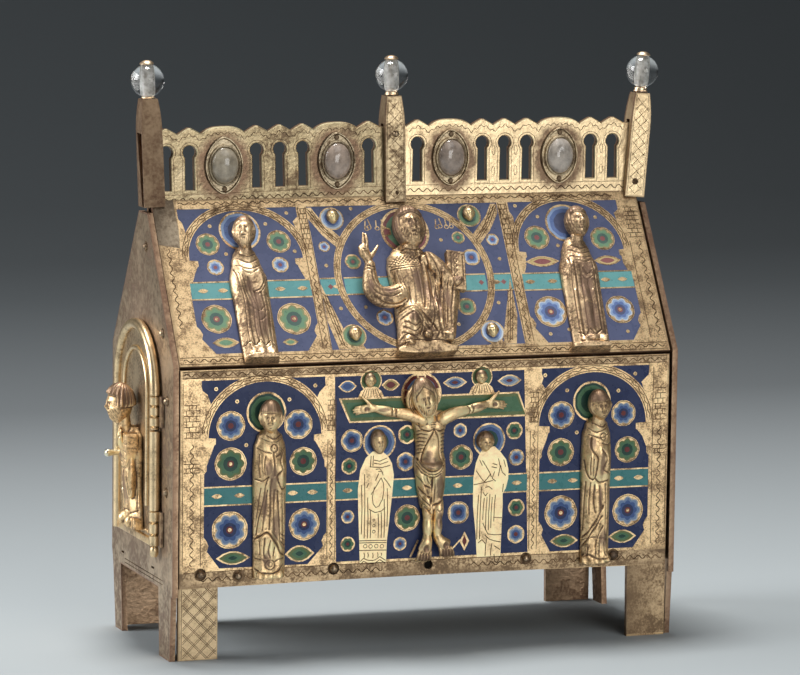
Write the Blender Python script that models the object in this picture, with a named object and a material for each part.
"""House-shaped reliquary casket of enamelled and gilt copper plates.

Six plates nailed round a wooden floor make the box and its steep roof.  A
pierced crest with crystal knobs stands on the ridge, applied figures in relief
stand on the front and the roof, and the left gable carries a small hinged door.

Units are metres and +Z is up.  The origin lies on the ground, under the middle
of the box that encloses the whole casket.  Figures are patterned in millimetres
on a seat whose axes are u (right), v (up) and w (out of the plate).
"""
import bpy
import bmesh
import math
from mathutils import Matrix, Vector

MM = 0.001
GAP = 0.3 * MM                     # room between pieces that touch

# --- the box of plates ---------------------------------------------------------
BODY_WIDTH = 240 * MM              # front and back plates, along X
BODY_DEPTH = 96 * MM               # over the front and back plates, along Y
PLATE = 2.4 * MM                   # thickness of the enamelled plates
WALL_FOOT = 33.6 * MM              # lower edge of the front and back plates
WALL_BOW = 0.9 * MM                # rise of that edge at mid-length
WALL_HEAD = 133.9 * MM             # upper edge of the front and back plates
EAVE = 135.6 * MM                  # outer lower edge of the roof plates
ROOF_ANGLE = math.radians(57.0)    # slope of the roof
ROOF_WIDTH = 240.6 * MM
RIDGE_HALF = 1.8 * MM              # roof plates end this far from the ridge line
FRONT_FOOT = 19.8 * MM             # widths of the feet
BACK_FOOT = 23.5 * MM
LOOSE_FOOT_TOP = 41 * MM           # the sheet foot reaches up behind the front
LOOSE_FOOT_SHEET = 2.0 * MM
FLOOR_LOW = 35.5 * MM
FLOOR_THICK = 8 * MM

# --- gables ----------------------------------------------------------------------
GABLE = 2.6 * MM                   # gable plate thickness
GABLE_GAP = 1.0 * MM               # open joint between gable and front plate
GABLE_PROUD = 1.3 * MM             # gable edge stands this far outside the box
GABLE_FOOT = 31.5 * MM             # lower edge between the gable feet
GABLE_TOP = 201.5 * MM

# --- door in the left gable ---------------------------------------------------------
DOOR_HALF = 29.5 * MM              # centre line of the hoop moulding
DOOR_FOOT = 51 * MM
DOOR_SPRING = 120.5 * MM           # where the arch starts
DOOR_SHEET = 2.4 * MM
HOOP = 2.5 * MM                    # radius of the hoop moulding and the hinge line
DOORWAY_HALF = 27.5 * MM
DOORWAY_FOOT = 56.5 * MM
HINGE_BORE = 1.3 * MM
HINGE_PIN = 1.0 * MM
HINGE_SPANS = ((50.8 * MM, 67.5 * MM), (106.0 * MM, 120.5 * MM))

# --- crest -----------------------------------------------------------------------
CREST = 3.0 * MM                   # thickness
CREST_LOW = 202.8 * MM
CREST_VALLEY = 239.3 * MM
CREST_PEAK = 242.3 * MM
KEY_PITCH = 11.25 * MM             # width of one keyhole bay
GEM_PITCH = 21.2 * MM              # width of one cabochon bay
KEY_LOW = 213.2 * MM
KEY_EYE = 230.8 * MM               # height of the keyhole's round eye
KEY_RADIUS = 3.3 * MM
KEY_SLOT = 2.15 * MM               # half width of the slot
LEFT_BAY = "kkgkkkgk"
RIGHT_BAY = "kgkkkgkk"
LEFT_START = -118.2 * MM
RIGHT_START = 4.1 * MM
LEFT_TILT = math.radians(1.25)     # the left half has sunk at its outer end
GEM_HEIGHT = 224.3 * MM
SETTING_HALF = 9.2 * MM
SETTING_TALL = 13.4 * MM
SETTING_SHEET = 1.0 * MM
COLLET = (7.7 * MM, 9.6 * MM)
STONE = (6.6 * MM, 8.5 * MM)
COLLET_DEEP = 2.4 * MM
STONE_DEEP = 4.0 * MM

# --- posts and crystal knobs -------------------------------------------------------
POST_LOW = 204.0 * MM
POST_SHOULDER = 240.5 * MM
POST_TOP = 253.6 * MM
POST_WIDTH = 10.0 * MM
POST_DEPTH = 10.0 * MM
POST_NECK = 7.2 * MM
POST_SHEET = 1.1 * MM
POSTS = (                          # name, foot x, knob x, knob height
    ("left", -119.4 * MM, -121.9 * MM, 261.8 * MM),
    ("middle", -2.0 * MM, -3.2 * MM, 263.0 * MM),
    ("right", 118.9 * MM, 123.7 * MM, 263.6 * MM),
)
BALL = 7.7 * MM
BALL_BORE = 2.3 * MM

# --- reach of the reliefs, which centres the casket on the origin -------------------
REACH_LEFT = -140.3 * MM
REACH_RIGHT = 131.4 * MM
REACH_FRONT = -61.5 * MM
REACH_BACK = 49.3 * MM

FRONT = -BODY_DEPTH / 2
SLOPE = Vector((0, math.cos(ROOF_ANGLE), math.sin(ROOF_ANGLE)))
SLOPE_OUT = Vector((0, -math.sin(ROOF_ANGLE), math.cos(ROOF_ANGLE)))
RIDGE = EAVE + (-FRONT - RIDGE_HALF) * math.tan(ROOF_ANGLE)
GABLE_IN = BODY_WIDTH / 2 + GABLE_GAP
GABLE_OUT = GABLE_IN + GABLE


# ------------------------------------------------------------------ scene and finishes
def clear_scene():
    for obj in list(bpy.data.objects):
        bpy.data.objects.remove(obj, do_unlink=True)


def finish(name, colour, roughness, metallic, transmission=0.0):
    mat = bpy.data.materials.new(name)
    mat.use_nodes = True
    shader = mat.node_tree.nodes["Principled BSDF"]
    shader.inputs["Base Color"].default_value = (*colour, 1)
    shader.inputs["Roughness"].default_value = roughness
    shader.inputs["Metallic"].default_value = metallic
    shader.inputs["Transmission Weight"].default_value = transmission
    return mat


clear_scene()
GILT = finish("gilt copper", (0.74, 0.55, 0.30), 0.38, 1.0)
WORN_GILT = finish("worn gilt copper", (0.50, 0.38, 0.22), 0.45, 1.0)
BARE_COPPER = finish("brown copper", (0.34, 0.26, 0.18), 0.5, 1.0)
ENAMEL = finish("blue enamel on gilt copper", (0.035, 0.065, 0.26), 0.3, 0.2)
CRYSTAL = finish("rock crystal", (0.92, 0.93, 0.94), 0.03, 0.0, 1.0)
CLOUDY = finish("cloudy crystal", (0.62, 0.58, 0.56), 0.1, 0.0, 0.35)
OAK = finish("old oak", (0.20, 0.13, 0.08), 0.8, 0.0)

casket = bpy.data.objects.new("casket", None)
casket.location = (-(REACH_LEFT + REACH_RIGHT) / 2, -(REACH_FRONT + REACH_BACK) / 2, 0)
bpy.context.collection.objects.link(casket)

HINGE_X = -(GABLE_OUT + GAP + HOOP)
HINGE_Y = -DOOR_HALF
door = bpy.data.objects.new("door", None)
door.parent = casket
door.location = (HINGE_X, HINGE_Y, 0)
bpy.context.collection.objects.link(door)


# ------------------------------------------------------------------------- seats
def frame_of(origin, u, v, w):
    """Matrix that takes (u, v, w) in metres to the casket's axes."""
    turn = Matrix((u, v, w)).transposed().to_4x4()
    return Matrix.Translation(origin) @ turn


AXIS_X = Vector((1, 0, 0))
AXIS_Y = Vector((0, 1, 0))
AXIS_Z = Vector((0, 0, 1))
ON_FRONT = frame_of((0, FRONT, 0), AXIS_X, AXIS_Z, -AXIS_Y)
ON_BACK = frame_of((0, -FRONT, 0), -AXIS_X, AXIS_Z, AXIS_Y)
ON_ROOF = frame_of((0, FRONT, EAVE), AXIS_X, SLOPE, SLOPE_OUT)
ON_DOOR = frame_of((-GABLE_OUT - GAP, 0, 0), -AXIS_Y, AXIS_Z, -AXIS_X)
ON_CREST = frame_of((0, -CREST / 2, 0), AXIS_X, AXIS_Z, -AXIS_Y)
IN_MM = Matrix.Scale(MM, 4)


def seat(base, u, v):
    """A millimetre pattern seat at (u, v) on a plate, clear of it by the gap."""
    return base @ Matrix.Translation((u * MM, v * MM, GAP)) @ IN_MM


# ---------------------------------------------------------------- building objects
def build(name, bm, mat, parent=casket, smooth=None):
    bmesh.ops.recalc_face_normals(bm, faces=bm.faces)
    mesh = bpy.data.meshes.new(name)
    bm.to_mesh(mesh)
    bm.free()
    mesh.materials.append(mat)
    obj = bpy.data.objects.new(name, mesh)
    bpy.context.collection.objects.link(obj)
    obj.parent = parent
    if smooth is not None:
        mesh.shade_smooth()
        mesh.set_sharp_from_angle(angle=math.radians(smooth))
    return obj


def on_door(bm):
    """Moves a mesh drawn in the casket's axes into the door's own axes."""
    bmesh.ops.translate(bm, verts=bm.verts, vec=(-HINGE_X, -HINGE_Y, 0))
    return bm


def combine(obj, operation, others, solver="EXACT"):
    """Applies one Boolean after another and removes the pieces used."""
    for other in others:
        boolean = obj.modifiers.new("shape", "BOOLEAN")
        boolean.operation = operation
        boolean.solver = solver
        boolean.object = other
        bpy.context.view_layer.update()
        evaluated = obj.evaluated_get(bpy.context.evaluated_depsgraph_get())
        result = bpy.data.meshes.new_from_object(evaluated)
        obj.modifiers.remove(boolean)
        old = obj.data
        obj.data = result
        bpy.data.meshes.remove(old)
        bpy.data.objects.remove(other, do_unlink=True)
    return obj


def prism(outline, low, high, place=None):
    """A closed plate: an outline in u and v, from w = low to w = high."""
    bm = bmesh.new()
    ring = [bm.verts.new((u, v, low)) for u, v in outline]
    face = bm.faces.new(ring)
    top = bmesh.ops.extrude_face_region(bm, geom=[face])
    moved = [item for item in top["geom"] if isinstance(item, bmesh.types.BMVert)]
    bmesh.ops.translate(bm, verts=moved, vec=(0, 0, high - low))
    if place:
        bmesh.ops.transform(bm, matrix=place, verts=bm.verts)
    return bm


def box(low, high):
    bm = bmesh.new()
    bmesh.ops.create_cube(bm, size=1)
    size = [b - a for a, b in zip(low, high)]
    middle = [(a + b) / 2 for a, b in zip(low, high)]
    bmesh.ops.scale(bm, vec=size, verts=bm.verts)
    bmesh.ops.translate(bm, vec=middle, verts=bm.verts)
    return bm


def lathe(profile, steps, place):
    """Turns a closed (radius, height) profile about the seat's v axis."""
    bm = bmesh.new()
    rings = []
    for step in range(steps):
        angle = math.tau * step / steps
        ring = []
        for radius, height in profile:
            ring.append(bm.verts.new((radius * math.cos(angle), height, radius * math.sin(angle))))
        rings.append(ring)
    count = len(profile)
    for step in range(steps):
        here = rings[step]
        there = rings[(step + 1) % steps]
        for k in range(count):
            j = (k + 1) % count
            if profile[k][0] > 0 or profile[j][0] > 0:
                bm.faces.new((here[k], here[j], there[j], there[k]))
    bmesh.ops.remove_doubles(bm, verts=bm.verts, dist=1e-7)
    bmesh.ops.transform(bm, matrix=place, verts=bm.verts)
    return bm


def tube(route, widths, deeps, sides, place):
    """A closed limb along route, whose section is 2 width by 2 deep at each point."""
    bm = bmesh.new()
    rings = []
    last = len(route) - 1
    for k, point in enumerate(route):
        before = Vector(route[max(k - 1, 0)])
        after = Vector(route[min(k + 1, last)])
        along = (after - before).normalized()
        across = along.cross(Vector((0, 0, 1))).normalized()
        out = across.cross(along)
        ring = []
        for side in range(sides):
            angle = math.tau * side / sides
            offset = across * widths[k] * math.cos(angle) + out * deeps[k] * math.sin(angle)
            ring.append(bm.verts.new(Vector(point) + offset))
        rings.append(ring)
    for here, there in zip(rings, rings[1:]):
        for side in range(sides):
            nxt = (side + 1) % sides
            bm.faces.new((here[side], here[nxt], there[nxt], there[side]))
    bm.faces.new(rings[0][::-1])
    bm.faces.new(rings[-1])
    bmesh.ops.transform(bm, matrix=place, verts=bm.verts)
    return bm


def relief(rows, columns, low, high, edge, surface, place, back_level=0.0):
    """A cloth-covered form in relief with a flat back at w = back_level.

    edge(t) gives the middle and half width at t from 0 (low) to 1 (high), and
    surface(s, t) the height of the cloth at s from -1 (left) to 1 (right).
    """
    bm = bmesh.new()
    grid = []
    back = []
    for row in range(rows + 1):
        t = row / rows
        v = low + (high - low) * t
        middle, half = edge(t)
        line = []
        for column in range(columns + 1):
            s = -math.cos(math.pi * column / columns)
            line.append(bm.verts.new((middle + half * s, v, surface(s, t))))
        grid.append(line)
        back.append((bm.verts.new((middle - half, v, back_level)),
                     bm.verts.new((middle + half, v, back_level))))
    for row in range(rows):
        here = grid[row]
        there = grid[row + 1]
        for column in range(columns):
            bm.faces.new((here[column], here[column + 1], there[column + 1], there[column]))
        bm.faces.new((back[row][0], here[0], there[0], back[row + 1][0]))
        bm.faces.new((here[-1], back[row][1], back[row + 1][1], there[-1]))
        bm.faces.new((back[row][1], back[row][0], back[row + 1][0], back[row + 1][1]))
    bm.faces.new([back[0][0], back[0][1]] + grid[0][::-1])
    bm.faces.new([back[-1][1], back[-1][0]] + grid[-1])
    bmesh.ops.transform(bm, matrix=place, verts=bm.verts)
    return bm


def blend(stops, t):
    """Smooth value at t between (t, value) stops."""
    for (t0, a), (t1, b) in zip(stops, stops[1:]):
        if t <= t1:
            x = max(0.0, (t - t0) / (t1 - t0))
            return a + (b - a) * x * x * (3 - 2 * x)
    return stops[-1][1]


def mound(s, t, s0, t0, wide, tall):
    """A soft swelling of height 1 at (s0, t0)."""
    return math.exp(-((s - s0) / wide) ** 2 - ((t - t0) / tall) ** 2)


def head(centre, radii, place, segments=9, rings=7, beard=0.0, hair=0.10, tilt=0.0):
    """A head in the round with a cap of hair, brow, nose and chin."""
    bm = bmesh.new()
    bmesh.ops.create_uvsphere(bm, u_segments=segments, v_segments=rings, radius=1.0)
    wide, tall, deep = radii
    for vert in bm.verts:
        x, y, z = vert.co              # z is up the head, -y is the face
        front = max(0.0, -y)
        cap = 1.0 if z > 0.42 + 0.35 * front else 0.0
        if front < 0.35:
            cap = 1.0 if z > -0.45 else 0.0
        narrow = 1.0 - 0.22 * max(0.0, -z) ** 1.5 * (1.0 - 0.6 * beard)
        nose = 0.16 * math.exp(-(x / 0.2) ** 2 - ((z + 0.12) / 0.25) ** 2) * front
        chin = 0.10 * math.exp(-(x / 0.4) ** 2 - ((z + 0.75) / 0.25) ** 2) * (1 + 2 * beard)
        swell = 1.0 + hair * cap
        vert.co = (x * wide * narrow * swell,
                   z * tall * (1 + 0.5 * hair * cap),
                   -y * deep * swell + deep * (nose + chin))
    turn = Matrix.Translation(centre) @ Matrix.Rotation(tilt, 4, "Z")
    bmesh.ops.transform(bm, matrix=place @ turn, verts=bm.verts)
    return bm


# -------------------------------------------------------------------- plates and feet
def bottom_edge(x):
    """Lower edge of a long plate, bowed up a little at mid-length."""
    return WALL_FOOT + WALL_BOW * math.cos(math.pi * x / BODY_WIDTH)


def long_plate(name, place, left_foot, right_foot):
    """Front or back plate, standing on the feet that are cut from the same sheet."""
    half = BODY_WIDTH / 2
    taper = 0.4 * MM
    outline = []
    if left_foot:
        outline += [(-half + taper, 0), (-half + left_foot - taper, 0)]
    start = -half + left_foot
    end = half - right_foot
    steps = 8
    for k in range(steps + 1):
        x = start + (end - start) * k / steps
        outline.append((x, bottom_edge(x)))
    if right_foot:
        outline += [(half - right_foot + taper, 0), (half - taper, 0)]
    outline += [(half, WALL_HEAD), (-half, WALL_HEAD)]
    return build(name, prism(outline, -PLATE, 0, place), ENAMEL)


long_plate("front_plate", ON_FRONT, 0, FRONT_FOOT)
long_plate("back_plate", ON_BACK, BACK_FOOT, BACK_FOOT)

LOOSE_BACK = FRONT + PLATE + GAP + LOOSE_FOOT_SHEET
build("front_left_foot",
      box((-BODY_WIDTH / 2 + 0.3 * MM, FRONT + PLATE + GAP, 0),
          (-BODY_WIDTH / 2 + FRONT_FOOT - 0.6 * MM, LOOSE_BACK, LOOSE_FOOT_TOP)),
      GILT)


def roof_section():
    """Section of one roof plate in Y and Z: a mitred sheet from eave to ridge."""
    thick = SLOPE_OUT * PLATE
    low = Vector((0, FRONT, EAVE))
    inner_top = RIDGE - PLATE / math.cos(ROOF_ANGLE)
    return [(low.y, low.z), (low.y - thick.y, low.z - thick.z),
            (-RIDGE_HALF, inner_top), (-RIDGE_HALF, RIDGE)]


ALONG_X = frame_of((0, 0, 0), AXIS_Y, AXIS_Z, AXIS_X)
ALONG_X_BACK = frame_of((0, 0, 0), -AXIS_Y, AXIS_Z, -AXIS_X)
HALF_ROOF = ROOF_WIDTH / 2
build("roof_front", prism(roof_section(), -HALF_ROOF, HALF_ROOF, ALONG_X), ENAMEL)
build("roof_back", prism(roof_section(), -HALF_ROOF, HALF_ROOF, ALONG_X_BACK), ENAMEL)


def floor_outline():
    """The board fills the box and is notched for the sheet of the loose foot."""
    half = BODY_WIDTH / 2 - GAP
    deep = BODY_DEPTH / 2 - PLATE - GAP
    notch_x = -BODY_WIDTH / 2 + FRONT_FOOT
    notch_y = LOOSE_BACK + GAP
    return [(-half, notch_y), (notch_x, notch_y), (notch_x, -deep),
            (half, -deep), (half, deep), (-half, deep)]


build("floor_board", prism(floor_outline(), FLOOR_LOW, FLOOR_LOW + FLOOR_THICK), OAK)


def gable_outline():
    """Gable in Y and Z, with a slot between its two tapering feet."""
    edge = -FRONT + GABLE_PROUD
    rise = GABLE_PROUD / math.cos(ROOF_ANGLE)
    slope_foot = EAVE + rise - GABLE_PROUD * math.tan(ROOF_ANGLE)
    top = RIDGE + rise
    crown = RIDGE_HALF + (top - GABLE_TOP) / math.tan(ROOF_ANGLE)
    front_foot = [(-edge, GABLE_FOOT - 1.5 * MM), (-47.4 * MM, GABLE_FOOT - 1.5 * MM),
                  (-45.4 * MM, 0), (-29.0 * MM, 0), (-26.8 * MM, GABLE_FOOT)]
    back_foot = [(34.5 * MM, GABLE_FOOT + 0.4 * MM), (31.5 * MM, 0), (43.0 * MM, 0),
                 (47.4 * MM, GABLE_FOOT), (edge, GABLE_FOOT + 6 * MM)]
    return front_foot + back_foot + [(edge, slope_foot), (crown, GABLE_TOP),
                                     (-crown, GABLE_TOP), (-edge, slope_foot)]


def doorway_outline():
    outline = [(-DOORWAY_HALF, DOORWAY_FOOT), (DOORWAY_HALF, DOORWAY_FOOT)]
    steps = 12
    for k in range(steps + 1):
        angle = math.pi * k / steps
        outline.append((DOORWAY_HALF * math.cos(angle), DOOR_SPRING + DOORWAY_HALF * math.sin(angle)))
    return outline


left_gable = build("left_gable", prism(gable_outline(), -GABLE_OUT, -GABLE_IN, ALONG_X), BARE_COPPER)
doorway = build("doorway", prism(doorway_outline(), -GABLE_OUT - PLATE, -GABLE_IN + PLATE, ALONG_X),
                BARE_COPPER)
combine(left_gable, "DIFFERENCE", [doorway])
build("right_gable", prism(gable_outline(), GABLE_IN, GABLE_OUT, ALONG_X), WORN_GILT)


# ------------------------------------------------------------------------ crest
def crest_edge(bay, start):
    """Upper edge of one crest half: small peaks, and wide arches over the stones."""
    points = []
    x = start
    for kind in bay:
        if kind == "k":
            rise = ((0.0, 0.0), (0.32, 0.72), (0.5, 1.0), (0.68, 0.72))
            pitch = KEY_PITCH
        else:
            rise = ((0.0, 0.0), (0.12, 0.5), (0.27, 0.9), (0.5, 1.0), (0.73, 0.9), (0.88, 0.5))
            pitch = GEM_PITCH
        for t, share in rise:
            points.append((x + pitch * t, CREST_VALLEY + (CREST_PEAK - CREST_VALLEY) * share))
        x += pitch
    points.append((x, CREST_VALLEY))
    return points


def bay_centres(bay, start, wanted):
    centres = []
    x = start
    for kind in bay:
        pitch = KEY_PITCH if kind == "k" else GEM_PITCH
        if kind == wanted:
            centres.append(x + pitch / 2)
        x += pitch
    return centres


def keyhole_outline(x):
    """A slot that opens into a round eye."""
    outline = [(x - KEY_SLOT * 1.1, KEY_LOW), (x + KEY_SLOT * 1.1, KEY_LOW)]
    neck = math.asin(KEY_SLOT / KEY_RADIUS)
    first = -math.pi / 2 + neck
    last = 1.5 * math.pi - neck
    steps = 7
    for k in range(steps + 1):
        angle = first + (last - first) * k / steps
        outline.append((x + KEY_RADIUS * math.cos(angle), KEY_EYE + KEY_RADIUS * math.sin(angle)))
    return outline


LEFT_LEAN = (Matrix.Translation((0, 0, CREST_LOW)) @ Matrix.Rotation(-LEFT_TILT, 4, "Y")
             @ Matrix.Translation((0, 0, -CREST_LOW)))


def crest_half(name, bay, start, left_tab, right_tab, lean, mat):
    """One pierced half of the crest; its ends run into the hollow posts."""
    top = crest_edge(bay, start)
    outline = [(left_tab, CREST_LOW), (right_tab, CREST_LOW), (right_tab, CREST_VALLEY)]
    outline += top[::-1]
    outline.append((left_tab, CREST_VALLEY))
    outline = [p for k, p in enumerate(outline) if k == 0 or math.dist(p, outline[k - 1]) > 1e-6]
    place = lean @ ON_CREST
    obj = build(name, prism(outline, -CREST, 0, place), mat)
    holes = []
    for x in bay_centres(bay, start, "k"):
        if x - KEY_RADIUS > left_tab and x + KEY_RADIUS < right_tab:
            holes.append(build("keyhole", prism(keyhole_outline(x), -2 * CREST, CREST, place), mat))
    return combine(obj, "DIFFERENCE", holes)


STRAIGHT = Matrix.Identity(4)
crest_half("crest_left", LEFT_BAY, LEFT_START, -118.4 * MM, -1.2 * MM, LEFT_LEAN, WORN_GILT)
crest_half("crest_right", RIGHT_BAY, RIGHT_START, 1.2 * MM, 119.2 * MM, STRAIGHT, GILT)


def oval(half_wide, half_tall, steps):
    return [(half_wide * math.cos(math.tau * k / steps), half_tall * math.sin(math.tau * k / steps))
            for k in range(steps)]


def pointed_oval(half_wide, half_tall, steps):
    """Two arcs that meet in points above and below."""
    outline = []
    for k in range(steps):
        angle = math.tau * k / steps
        wide = half_wide * math.copysign(abs(math.cos(angle)) ** 1.25, math.cos(angle))
        outline.append((wide, half_tall * math.sin(angle)))
    return outline


def dome(half_wide, half_tall, deep, steps, rings, place):
    """A cabochon: a low oval dome with a flat back."""
    bm = bmesh.new()
    circles = []
    for ring in range(rings):
        turn = math.pi / 2 * ring / rings
        outline = oval(half_wide * math.cos(turn), half_tall * math.cos(turn), steps)
        circles.append([bm.verts.new((u, v, deep * math.sin(turn))) for u, v in outline])
    top = bm.verts.new((0, 0, deep))
    for here, there in zip(circles, circles[1:]):
        for k in range(steps):
            j = (k + 1) % steps
            bm.faces.new((here[k], here[j], there[j], there[k]))
    for k in range(steps):
        bm.faces.new((circles[-1][k], circles[-1][(k + 1) % steps], top))
    bm.faces.new(circles[0][::-1])
    bmesh.ops.transform(bm, matrix=place, verts=bm.verts)
    return bm


def gem(number, x, lean, mat):
    """Pointed-oval mount with a collet, and the stone that it holds."""
    place = lean @ ON_CREST @ Matrix.Translation((x, GEM_HEIGHT, GAP))
    mount = build(f"setting_{number}", prism(pointed_oval(SETTING_HALF, SETTING_TALL, 16), 0,
                                             SETTING_SHEET, place), mat)
    rim = build("collet", prism(oval(*COLLET, 14), SETTING_SHEET / 2, COLLET_DEEP, place), mat)
    inner = oval(STONE[0] + GAP, STONE[1] + GAP, 14)
    well = build("well", prism(inner, SETTING_SHEET, 2 * COLLET_DEEP, place), mat)
    combine(mount, "UNION", [rim])
    combine(mount, "DIFFERENCE", [well])
    lifted = place @ Matrix.Translation((0, 0, SETTING_SHEET + GAP))
    build(f"cabochon_{number}", dome(*STONE, STONE_DEEP, 12, 3, lifted), CLOUDY, smooth=40)


GEMS = [(x, LEFT_LEAN, WORN_GILT) for x in bay_centres(LEFT_BAY, LEFT_START, "g")]
GEMS += [(x, STRAIGHT, GILT) for x in bay_centres(RIGHT_BAY, RIGHT_START, "g")]
for number, (x, lean, mat) in enumerate(GEMS, 1):
    gem(number, x, lean, mat)


# ------------------------------------------------------------------ posts and knobs
def square_shell(levels, place):
    """A solid with a square section that changes from level to level."""
    bm = bmesh.new()
    rings = []
    for height, wide, deep in levels:
        a = wide / 2
        b = deep / 2
        rings.append([bm.verts.new((u, height, w)) for u, w in ((-a, b), (a, b), (a, -b), (-a, -b))])
    for here, there in zip(rings, rings[1:]):
        for k in range(4):
            j = (k + 1) % 4
            bm.faces.new((here[k], here[j], there[j], there[k]))
    bm.faces.new(rings[0][::-1])
    bm.faces.new(rings[-1])
    bmesh.ops.transform(bm, matrix=place, verts=bm.verts)
    return bm


def slot_outline():
    """Cut in a post's cheek that lets the crest in and straddles the ridge below."""
    inner = POST_DEPTH / 2 - POST_SHEET
    ridge = RIDGE_HALF + GAP
    crest = CREST / 2 + GAP
    half = [(inner, POST_LOW - PLATE), (inner, RIDGE - (inner - ridge) * math.tan(ROOF_ANGLE)),
            (ridge, RIDGE), (crest, RIDGE + 2 * GAP), (crest, CREST_PEAK - 1.5 * MM)]
    return half + [(-y, z) for y, z in half[::-1]]


def post(name, foot_x, knob_x, knob_z):
    """A post bent up from sheet, open below, that sits astride the ridge."""
    lean = math.atan2(knob_x - foot_x, knob_z - POST_LOW)
    tall = POST_TOP - POST_LOW
    shoulder = POST_SHOULDER - POST_LOW
    place = (Matrix.Translation((foot_x, 0, POST_LOW)) @ Matrix.Rotation(lean, 4, "Y")
             @ frame_of((0, 0, 0), AXIS_X, AXIS_Z, -AXIS_Y))
    levels = [(0, POST_WIDTH, POST_DEPTH),
              (shoulder, POST_WIDTH * 0.97, POST_DEPTH * 0.97),
              (shoulder + 0.55 * (tall - shoulder), POST_WIDTH * 0.88, POST_DEPTH * 0.88),
              (tall, POST_NECK, POST_NECK)]
    hollow = [(-2 * MM, POST_WIDTH - 2 * POST_SHEET, POST_DEPTH - 2 * POST_SHEET),
              (shoulder, POST_WIDTH * 0.97 - 2 * POST_SHEET, POST_DEPTH * 0.97 - 2 * POST_SHEET),
              (tall - 2 * POST_SHEET, POST_NECK - 2 * POST_SHEET, POST_NECK - 2 * POST_SHEET)]
    mat = BARE_COPPER if name == "left" else GILT
    obj = build(f"post_{name}", square_shell(levels, place), mat)
    inside = build("inside", square_shell(hollow, place), mat)
    slot_left = foot_x if name == "left" else foot_x - POST_WIDTH
    slot_right = foot_x if name == "right" else foot_x + POST_WIDTH
    slot = build("slot", prism(slot_outline(), slot_left, slot_right, ALONG_X), mat)
    combine(obj, "DIFFERENCE", [inside, slot])
    if name == "left":
        # the outer cheek of this post is torn open, down to a point at the foot
        half = POST_DEPTH / 2 - POST_SHEET
        tear = [(-half, POST_LOW - PLATE), (-CREST / 2, POST_LOW - PLATE),
                (half - 0.8 * MM, POST_SHOULDER - 2.5 * MM), (-half, POST_SHOULDER - 2.5 * MM)]
        gash = build("gash", prism(tear, foot_x - POST_WIDTH, foot_x - POST_WIDTH / 4, ALONG_X), mat)
        combine(obj, "DIFFERENCE", [gash])
    finial(name, place, tall, (knob_z - POST_LOW) / math.cos(lean))


def finial(name, place, post_top, ball_height):
    """A bored crystal ball on a spindle with a collar below and a cap above."""
    cut = math.sqrt(BALL ** 2 - BALL_BORE ** 2)
    outer = []
    rings = 5
    limit = math.asin(cut / BALL)
    for k in range(rings + 1):
        angle = -limit + 2 * limit * k / rings
        outer.append((BALL * math.cos(angle), ball_height + BALL * math.sin(angle)))
    build(f"crystal_{name}", lathe(outer[::-1], 12, place), CRYSTAL, smooth=40)
    foot = post_top + GAP
    low = ball_height - cut
    high = ball_height + cut
    room = low - foot
    pin = BALL_BORE - 0.9 * MM
    profile = [(0, foot), (3.2 * MM, foot), (3.4 * MM, foot + 0.3 * room), (2.5 * MM, foot + 0.55 * room),
               (2.0 * MM, foot + 0.8 * room), (pin, low), (pin, high), (1.7 * MM, high + GAP),
               (3.3 * MM, high + 0.2 * MM), (2.3 * MM, high + 1.4 * MM), (0, high + 2.0 * MM)]
    build(f"spindle_{name}", lathe(profile[::-1], 7, place), GILT, smooth=40)


for entry in POSTS:
    post(*entry)


# --------------------------------------------------------------- standing figures
def saint(name, base, u, v, half, shoulder, lean, skull, ledge, part_hair):
    """A standing saint in a long robe, hands before the chest, in high relief."""
    place = seat(base, u, v)
    head_u, head_v, head_half, head_tall = skull
    chest = head_v - 6.3                     # the robe ends under the chin

    def edge(t):
        stops = ((0, 0.93), (0.08, 0.95), (0.45, 0.97), (0.72, 1.0), (0.88, shoulder),
                 (0.95, shoulder * 0.8), (1, 0.4))
        return blend(((0, lean), (1, 0)), t), half * blend(stops, t)

    def surface(s, t):
        rim = 1.0
        crown = blend(((0, 4.4), (0.1, 3.6), (0.5, 4.4), (0.75, 5.2), (0.92, 4.4), (1, 3.4)), t)
        body = crown * max(0.0, 1 - s * s) ** 0.55
        skirt = 0.8 * math.cos(math.pi * 3.5 * s) * blend(((0, 1), (0.45, 1), (0.62, 0), (1, 0)), t)
        sleeve = 1.9 * mound(abs(s), t, 0.58, 0.70, 0.24, 0.10)
        hands = 1.2 * mound(s, t, 0.1, 0.76, 0.30, 0.07)
        hollow = -0.9 * mound(s, t, 0.1, 0.58, 0.35, 0.06)
        v_fold = 0.5 * math.cos(34 * (t - 0.16 * abs(s))) * blend(((0, 0), (0.8, 0), (0.88, 1), (1, 0)), t)
        toes = 1.3 * mound(abs(s), t, 0.45, 0.0, 0.25, 0.05)
        return rim + body + skirt + sleeve + hands + hollow + v_fold + toes

    body = build(name, relief(12, 8, 0, chest, edge, surface, place), WORN_GILT)
    neck_route = [(0, chest - 5, 3.4), (head_u * 0.8, chest + 5, 5.4)]
    neck = build("neck", tube(neck_route, (3.2, 2.7), (2.6, 2.7), 6, place), WORN_GILT)
    face = head((head_u, head_v, 6.0), (head_half, head_tall, 5.4), place, hair=part_hair)
    parts = [neck, build("face", face, WORN_GILT)]
    if ledge:
        middle, wide = ledge
        rest = prism([(middle - wide, 0), (middle + wide, 0), (middle + wide, 1.8), (middle, 2.8),
                      (middle - wide, 1.8)], 0.4, 7.0, place)
        parts.append(build("rest", rest, WORN_GILT))
    combine(body, "UNION", parts)


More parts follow.
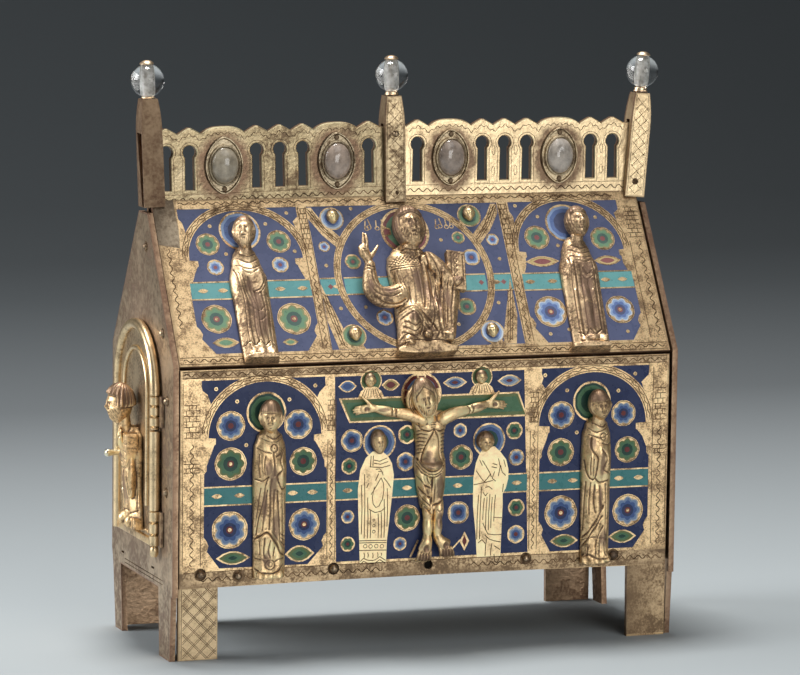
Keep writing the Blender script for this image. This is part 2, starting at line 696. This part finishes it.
saint("saint_front_left", ON_FRONT, -77.8, 37.5, 8.0, 0.94, 0, (-1.1, 74.8, 5.2, 7.8), None, 0.08)
saint("saint_front_right", ON_FRONT, 82.8, 36.4, 7.4, 0.94, 0, (-0.5, 75.4, 5.1, 7.4), None, 0.08)
saint("saint_roof_left", ON_ROOF, -81.0, 0.3, 8.9, 0.76, -0.4, (0.2, 64.0, 5.2, 8.0), (-1.0, 7.4), 0.08)
saint("saint_roof_right", ON_ROOF, 82.6, 0.3, 9.6, 0.74, -1.9, (1.6, 65.0, 5.3, 7.8), (-3.6, 9.6), 0.12)


# -------------------------------------------------------------------- corpus
def corpus():
    """The crucified figure: bare chest, long loincloth, arms nearly level."""
    place = seat(ON_FRONT, -0.8, 40.6)

    def trunk_edge(t):
        stops = ((0, 6.6), (0.15, 6.7), (0.35, 6.0), (0.6, 6.9), (0.85, 8.6), (1, 6.4))
        return blend(((0, 0.2), (1, -0.6)), t), blend(stops, t)

    def trunk_surface(s, t):
        crown = blend(((0, 5.6), (0.3, 4.4), (0.7, 6.0), (1, 3.8)), t)
        ribbed = blend(((0, 0), (0.3, 0), (0.4, 1), (0.7, 1), (0.8, 0)), t)
        ribs = 0.25 * math.cos(60 * t + 8 * s * s) * ribbed
        belly = -0.7 * mound(s, t, 0, 0.42, 0.35, 0.10)
        return 1.2 + crown * max(0.0, 1 - s * s) ** 0.5 + ribs * abs(s) + belly

    def cloth_edge(t):
        stops = ((0, 4.2), (0.12, 5.4), (0.5, 7.2), (0.85, 7.7), (1, 7.0))
        return blend(((0, 1.6), (0.4, 1.0), (1, 0.2)), t), blend(stops, t)

    def cloth_surface(s, t):
        crown = blend(((0, 4.4), (0.5, 5.6), (0.9, 6.6), (1, 5.6)), t)
        folds = 0.7 * math.cos(9 * s + 5 * t) * blend(((0, 1), (0.7, 1), (0.85, 0.2), (1, 0)), t)
        girdle = 0.8 * math.exp(-((t - 0.9 + 0.12 * s * s) / 0.06) ** 2)
        return 1.0 + crown * max(0.0, 1 - s * s) ** 0.5 + folds + girdle

    body = build("corpus", relief(8, 6, 42, 71, trunk_edge, trunk_surface, place), WORN_GILT)
    neck = tube([(-1.5, 67, 4.6), (-3.6, 73.5, 6.2)], (3.0, 2.9), (2.8, 2.8), 6, place)
    skull = head((-5.2, 77.9, 8.0), (6.3, 8.9, 5.6), place, beard=0.5, hair=0.12, tilt=math.radians(15))
    parts = [build("neck", neck, WORN_GILT), build("skull", skull, WORN_GILT),
             build("cloth", relief(7, 6, 24, 47.5, cloth_edge, cloth_surface, place, 0.25), WORN_GILT)]
    for side in (-1, 1):
        arm = [(side * 5.5, 67.8, 5.0), (side * 11, 69.8, 4.6), (side * 18, 71.0, 3.9),
               (side * 25.5, 72.4, 3.3), (side * 28.2, 73.2, 3.0)]
        palm = [(side * 27.4, 73.2, 2.9), (side * 31.6, 73.0, 2.7), (side * 37.4, 72.2, 2.2)]
        thumb = [(side * 28.0, 73.6, 2.9), (side * 31.2, 76.4, 2.8), (side * 33.9, 78.9, 2.4)]
        shin = [(side * 2.6 + 1.1, 28, 3.2), (side * 2.4 + 1.1, 22, 3.7), (side * 2.3 + 1.0, 17, 3.6),
                (side * 2.2 + 0.9, 11, 3.4)]
        foot = [(side * 2.4 + 1.0, 13.2, 3.4), (side * 4.5 + 1.9, 8.5, 4.4), (side * 5.8 + 1.6, 3.4, 4.0)]
        parts.append(build("arm", tube(arm, (3.3, 2.8, 2.4, 2.0, 1.7), (3.0, 2.5, 2.1, 1.7, 1.4), 6, place),
                           WORN_GILT))
        parts.append(build("palm", tube(palm, (1.7, 2.3, 1.3), (1.2, 1.2, 0.8), 5, place), WORN_GILT))
        parts.append(build("thumb", tube(thumb, (1.0, 0.8, 0.5), (0.9, 0.8, 0.5), 5, place), WORN_GILT))
        parts.append(build("leg", tube(shin, (2.4, 2.4, 2.2, 1.8), (2.4, 2.5, 2.3, 2.0), 6, place),
                           WORN_GILT))
        parts.append(build("foot", tube(foot, (1.8, 2.6, 2.2), (2.0, 2.1, 1.2), 6, place), WORN_GILT))
    combine(body, "UNION", parts)


corpus()


# ------------------------------------------------------------------- Majesty
def majesty():
    """The enthroned figure: blessing hand raised, a book held upright, knees apart."""
    place = seat(ON_ROOF, -1.8, 0)

    def robe_edge(t):
        stops = ((0, 13.6), (0.25, 11.8), (0.5, 11.0), (0.78, 11.4), (0.88, 10.4), (0.95, 7.6), (1, 4.4))
        return 0.0, blend(stops, t)

    def robe_surface(s, t):
        crown = blend(((0, 6.0), (0.28, 9.0), (0.42, 7.4), (0.75, 7.0), (1, 4.2)), t)
        knees = 3.4 * mound(abs(s), t, 0.55, 0.30, 0.30, 0.10)
        shins = 1.6 * mound(abs(s), t, 0.58, 0.12, 0.26, 0.12)
        lap = -1.8 * mound(s, t, 0, 0.20, 0.26, 0.14)
        folded = blend(((0, 0.8), (0.35, 0.2), (0.5, 1), (0.85, 1), (1, 0)), t)
        folds = 0.7 * math.cos(13 * s + 9 * t) * folded
        mantle = 1.1 * math.exp(-((s - 0.62 + 0.9 * (1 - t)) / 0.11) ** 2) * blend(
            ((0, 0), (0.42, 0), (0.55, 1), (1, 0.6)), t)
        return 1.0 + crown * max(0.0, 1 - s * s) ** 0.5 + knees + shins + lap + folds + mantle

    body = build("majesty", relief(12, 8, 5, 57, robe_edge, robe_surface, place), WORN_GILT)
    blessing = [(-8, 29.6, 6.0), (-15.4, 28.4, 5.6), (-20.8, 31.0, 5.4), (-22.2, 37.4, 6.0), (-21.5, 46, 7.4)]
    held = [(8.4, 47, 6.0), (13.4, 39.4, 6.8), (16.0, 35, 8.2), (17.4, 33.8, 9.6)]
    hanging = [(12, 42, 5.0), (15.8, 29, 5.2), (13.4, 20, 5.2), (10.6, 9, 5.0)]
    palm = [(-21.6, 45.4, 7.4), (-23.3, 50.2, 7.8), (-23.2, 54.6, 8.0)]
    fingers = [(-22.8, 53, 8.0), (-22.0, 61.0, 8.2)]
    thumb = [(-21.4, 48.8, 7.8), (-16.2, 54.6, 8.4)]
    grip = [(16.8, 33.6, 9.6), (20.0, 35.2, 10.8)]
    book = prism([(14.8, 31.8), (22.9, 30.2), (25.6, 49.8), (16.7, 51.4)], 4.6, 9.0, place)
    stool = prism([(-14.8, 0.8), (-7, 0), (7, 0), (13.6, 0.6), (15.0, 2.8), (9, 4.4), (0, 5.2), (-9, 4.6),
                   (-15.0, 3.0)], 0.3, 8.4, place)
    face = head((1.0, 64.0, 7.6), (7.0, 10.1, 6.4), place, 10, 8, beard=0.8, hair=0.12)
    sleeve = tube(blessing, (4.4, 5.0, 4.9, 3.9, 2.6), (3.6, 4.0, 4.2, 3.6, 2.4), 7, place)
    parts = [
        build("neck", tube([(0.4, 50, 4.8), (0.8, 60, 6.6)], (4.0, 3.6), (3.6, 3.4), 6, place), WORN_GILT),
        build("face", face, WORN_GILT),
        build("book", book, WORN_GILT),
        build("stool", stool, WORN_GILT),
        build("sleeve", sleeve, WORN_GILT),
        build("arm", tube(held, (4.2, 4.0, 3.2, 2.2), (3.8, 3.6, 3.0, 2.0), 6, place), WORN_GILT),
        build("drape", tube(hanging, (3.4, 4.2, 3.5, 3.0), (3.2, 3.8, 3.8, 3.6), 6, place), WORN_GILT),
        build("palm", tube(palm, (2.2, 2.9, 2.4), (1.8, 1.9, 1.5), 7, place), WORN_GILT),
        build("fingers", tube(fingers, (1.7, 1.3), (1.0, 0.8), 6, place), WORN_GILT),
        build("thumb", tube(thumb, (1.2, 0.8), (1.1, 0.7), 6, place), WORN_GILT),
        build("grip", tube(grip, (2.2, 1.8), (1.6, 1.4), 6, place), WORN_GILT),
    ]
    combine(body, "UNION", parts, "MANIFOLD")      # the sleeves overlap too finely for EXACT


majesty()


# ------------------------------------------------------------ small applied heads
SMALL_HEADS = (                    # name, plate, u, v, half width, half height
    ("head_mary", ON_FRONT, -25.4, 98.2, 3.8, 6.0),
    ("head_john", ON_FRONT, 27.0, 96.2, 4.2, 5.2),
    ("head_angel_left", ON_FRONT, -29.6, 126.6, 2.7, 3.5),
    ("head_angel_right", ON_FRONT, 24.8, 126.3, 2.8, 3.5),
    ("head_ring_upper_left", ON_ROOF, -34.8, 73.6, 2.9, 3.9),
    ("head_ring_upper_right", ON_ROOF, 32.8, 73.6, 2.9, 3.9),
    ("head_ring_lower_left", ON_ROOF, -34.5, 13.2, 2.9, 3.8),
    ("head_ring_lower_right", ON_ROOF, 32.8, 12.6, 2.9, 3.8),
)


def small_head(name, base, u, v, half, tall):
    """A cast head, flat behind, riveted on the engraved body of its figure."""
    place = seat(base, u, v)
    deep = half * 0.95
    obj = build(name, head((0, 0, deep * 0.55), (half, tall, deep), place, 8, 5, hair=0.08), GILT)
    flat = prism([(-3 * half, -3 * half), (3 * half, -3 * half), (3 * half, 3 * half), (-3 * half, 3 * half)],
                 -3 * half, 0, place)
    combine(obj, "DIFFERENCE", [build("flat", flat, GILT)])


for entry in SMALL_HEADS:
    small_head(*entry)


# ------------------------------------------------------------------- gable door
def hoop_path(radius, low, steps=11):
    """Up one jamb, round the arch and down the other, in door coordinates."""
    path = [(-radius, low, HOOP)]
    for k in range(steps + 1):
        angle = math.pi - math.pi * k / steps
        path.append((radius * math.cos(angle), DOOR_SPRING + radius * math.sin(angle), HOOP))
    path.append((radius, low, HOOP))
    return path


def pipe(path, radius, sides, place, lift=0.0):
    """A round bar of constant radius along a path that lies in one plane."""
    bm = bmesh.new()
    rings = []
    last = len(path) - 1
    for k, point in enumerate(path):
        before = Vector(path[max(k - 1, 0)])
        after = Vector(path[min(k + 1, last)])
        along = (after - before).normalized()
        across = along.cross(Vector((0, 0, 1)))
        middle = Vector(point) + Vector((0, 0, lift))
        ring = []
        for side in range(sides):
            angle = math.tau * (side + 0.5) / sides
            offset = across * math.cos(angle) + Vector((0, 0, 1)) * math.sin(angle)
            ring.append(bm.verts.new(middle + offset * radius))
        rings.append(ring)
    for here, there in zip(rings, rings[1:]):
        for side in range(sides):
            nxt = (side + 1) % sides
            bm.faces.new((here[side], here[nxt], there[nxt], there[side]))
    bm.faces.new(rings[0][::-1])
    bm.faces.new(rings[-1])
    bmesh.ops.transform(bm, matrix=place, verts=bm.verts)
    return bm


def barrel(low, high, radius, sides=9):
    """An upright cylinder on the hinge line, in door coordinates."""
    return [(DOOR_HALF + radius * math.cos(math.tau * k / sides),
             HOOP + radius * math.sin(math.tau * k / sides)) for k in range(sides)], low, high


def upright(section, low, high):
    """A prism standing up from a section in u and w of the door seat."""
    stand = ON_DOOR @ Matrix(((1, 0, 0, 0), (0, 0, 1, 0), (0, 1, 0, 0), (0, 0, 0, 1)))
    return prism(section, low, high, stand)


def door_panel():
    """The door leaf: a sheet framed by a hoop moulding, with its own hinge rings."""
    steps = 11
    outline = [(-DOOR_HALF, DOOR_FOOT), (DOOR_HALF, DOOR_FOOT)]
    for k in range(steps + 1):
        angle = math.pi * k / steps
        outline.append((DOOR_HALF * math.cos(angle), DOOR_SPRING + DOOR_HALF * math.sin(angle)))
    panel = build("door_panel", on_door(prism(outline, 0.05 * MM, DOOR_SHEET, ON_DOOR)), BARE_COPPER, door)
    hoop = pipe(hoop_path(DOOR_HALF, DOOR_FOOT - 0.4 * MM), HOOP - 0.02 * MM, 8, ON_DOOR)
    rail = prism([(-DOOR_HALF, DOOR_FOOT - 0.6 * MM), (DOOR_HALF - 1 * MM, DOOR_FOOT - 0.6 * MM),
                  (DOOR_HALF - 1 * MM, DOOR_FOOT + 3 * MM), (-DOOR_HALF, DOOR_FOOT + 3 * MM)],
                 1.0 * MM, DOOR_SHEET + 1.3 * MM, ON_DOOR)
    niche = pipe(hoop_path(18.5 * MM, 68 * MM, 8), 1.1 * MM, 5, ON_DOOR, lift=0.2 * MM)
    parts = [build("hoop", on_door(hoop), BARE_COPPER, door), build("rail", on_door(rail), BARE_COPPER, door),
             build("niche", on_door(niche), BARE_COPPER, door)]
    combine(panel, "UNION", parts)
    for low, high in HINGE_SPANS:
        gap_low = low - 2 * MM             # room for the riveted end of the pin
        notch = prism([(DOOR_HALF - HOOP - 0.7 * MM, gap_low), (DOOR_HALF + 2 * HOOP, gap_low),
                       (DOOR_HALF + 2 * HOOP, high), (DOOR_HALF - HOOP - 0.7 * MM, high)],
                      -HOOP, 4 * HOOP, ON_DOOR)
        combine(panel, "DIFFERENCE", [build("notch", on_door(notch), BARE_COPPER, door)])
        third = (high - low) / 3
        ring_low = low + third + GAP
        ring_high = high - third - GAP
        section, low_z, high_z = barrel(ring_low, ring_high, HOOP)
        ring = build("ring", on_door(upright(section, low_z, high_z)), BARE_COPPER, door)
        web_section = [(DOOR_HALF - HOOP - 2.5 * MM, 0.3 * MM), (DOOR_HALF - 1.2 * MM, 0.3 * MM),
                       (DOOR_HALF - 1.2 * MM, 2.3 * MM), (DOOR_HALF - HOOP - 2.5 * MM, 2.3 * MM)]
        web = build("web", on_door(upright(web_section, ring_low, ring_high)), BARE_COPPER, door)
        bore_section, _, _ = barrel(0, 0, HINGE_BORE, 10)
        bore = build("bore", on_door(upright(bore_section, ring_low - MM, ring_high + MM)), BARE_COPPER, door)
        combine(panel, "UNION", [ring, web])
        combine(panel, "DIFFERENCE", [bore])


def hinge(number, low, high):
    """The two gable rings of one hinge on their strap, and the pin through them."""
    third = (high - low) / 3
    strap_section = [(DOOR_HALF + 1.7 * MM, 0.0), (DOOR_HALF + 6.2 * MM, 0.0),
                     (DOOR_HALF + 6.2 * MM, 1.2 * MM), (DOOR_HALF + 1.7 * MM, 1.2 * MM)]
    strap = build(f"hinge_strap_{number}", upright(strap_section, low + GAP, high - GAP), BARE_COPPER)
    swept = HOOP + 0.35 * MM
    section, _, _ = barrel(0, 0, swept, 12)
    clear = upright(section, low + third, high - third)
    combine(strap, "DIFFERENCE", [build("clear", clear, BARE_COPPER)])
    rings = []
    for start in (low + GAP, high - third + GAP):
        section, low_z, high_z = barrel(start, start + third - 2 * GAP, HOOP)
        rings.append(build("ring", upright(section, low_z, high_z), BARE_COPPER))
    combine(strap, "UNION", rings)
    bore_section, _, _ = barrel(0, 0, HINGE_BORE, 10)
    combine(strap, "DIFFERENCE", [build("bore", upright(bore_section, low - MM, high + MM), BARE_COPPER)])
    tail = 4.5 * MM if number == 1 else 0.9 * MM
    pin_section, _, _ = barrel(0, 0, HINGE_PIN, 8)
    pin = build(f"hinge_pin_{number}", upright(pin_section, low - tail, high - GAP / 2), BARE_COPPER)
    knob_section, _, _ = barrel(0, 0, HOOP - 0.4 * MM, 8)
    end = low - GAP
    combine(pin, "UNION", [build("end", upright(knob_section, end - tail, end), BARE_COPPER)])


def door_figure():
    """An apostle on the door: large head in the round, book and hand, folded robe."""
    place = seat(ON_DOOR @ Matrix.Translation((0, 0, DOOR_SHEET)), 0.6, 58.5)

    def edge(t):
        stops = ((0, 12.5), (0.1, 11.6), (0.35, 9.6), (0.7, 10.6), (0.9, 9.4), (1, 4.4))
        return 0.0, blend(stops, t)

    def surface(s, t):
        crown = blend(((0, 3.4), (0.2, 4.0), (0.6, 5.4), (0.85, 5.4), (1, 4.0)), t)
        folds = 0.6 * math.cos(10 * s + 6 * t) * blend(((0, 1), (0.5, 1), (0.7, 0.2), (1, 0)), t)
        waist = -1.0 * mound(s, t, 0, 0.62, 0.6, 0.06)
        return 0.8 + crown * max(0.0, 1 - s * s) ** 0.5 + folds + waist

    body = build("door_figure", on_door(relief(9, 8, 0, 44, edge, surface, place)), WORN_GILT, door)
    book = prism([(4.6, 27), (9.6, 26), (10.4, 41.5), (5.2, 42)], 2.0, 8.2, place)
    palm = tube([(1.6, 32, 6.0), (2.4, 38, 8.4), (2.8, 43, 8.8)], (2.4, 2.2, 1.2), (1.8, 1.6, 1.0), 5, place)
    neck = tube([(0, 38, 4.4), (-0.4, 50, 6.4)], (3.6, 3.4), (3.2, 3.2), 6, place)
    base = prism([(-13, -3), (13, -3), (12, 2.4), (-12, 2.4)], 0.2, 4.8, place)
    skull = head((-0.6, 54.8, 7.8), (6.8, 9.2, 6.4), place, beard=0.6, hair=0.10)
    pieces = (("book", book), ("palm", palm), ("neck", neck), ("base", base), ("skull", skull))
    combine(body, "UNION", [build(part, on_door(bm), WORN_GILT, door) for part, bm in pieces])


def door_knob():
    """A small round-ended peg by which the door is pulled."""
    length = 8.2 * MM
    profile = [(0, 0), (1.7 * MM, 0), (1.5 * MM, 0.5 * length), (1.9 * MM, 0.8 * length),
               (1.3 * MM, 0.97 * length), (0, length)]
    stand = (ON_DOOR @ Matrix.Translation((-DOOR_HALF + 5.4 * MM, 86.5 * MM, DOOR_SHEET + GAP))
             @ Matrix(((1, 0, 0, 0), (0, 0, -1, 0), (0, 1, 0, 0), (0, 0, 0, 1))))
    build("door_knob", on_door(lathe(profile[::-1], 8, stand)), GILT, door, smooth=40)


door_panel()
for number, (low, high) in enumerate(HINGE_SPANS, 1):
    hinge(number, low, high)
door_figure()
door_knob()
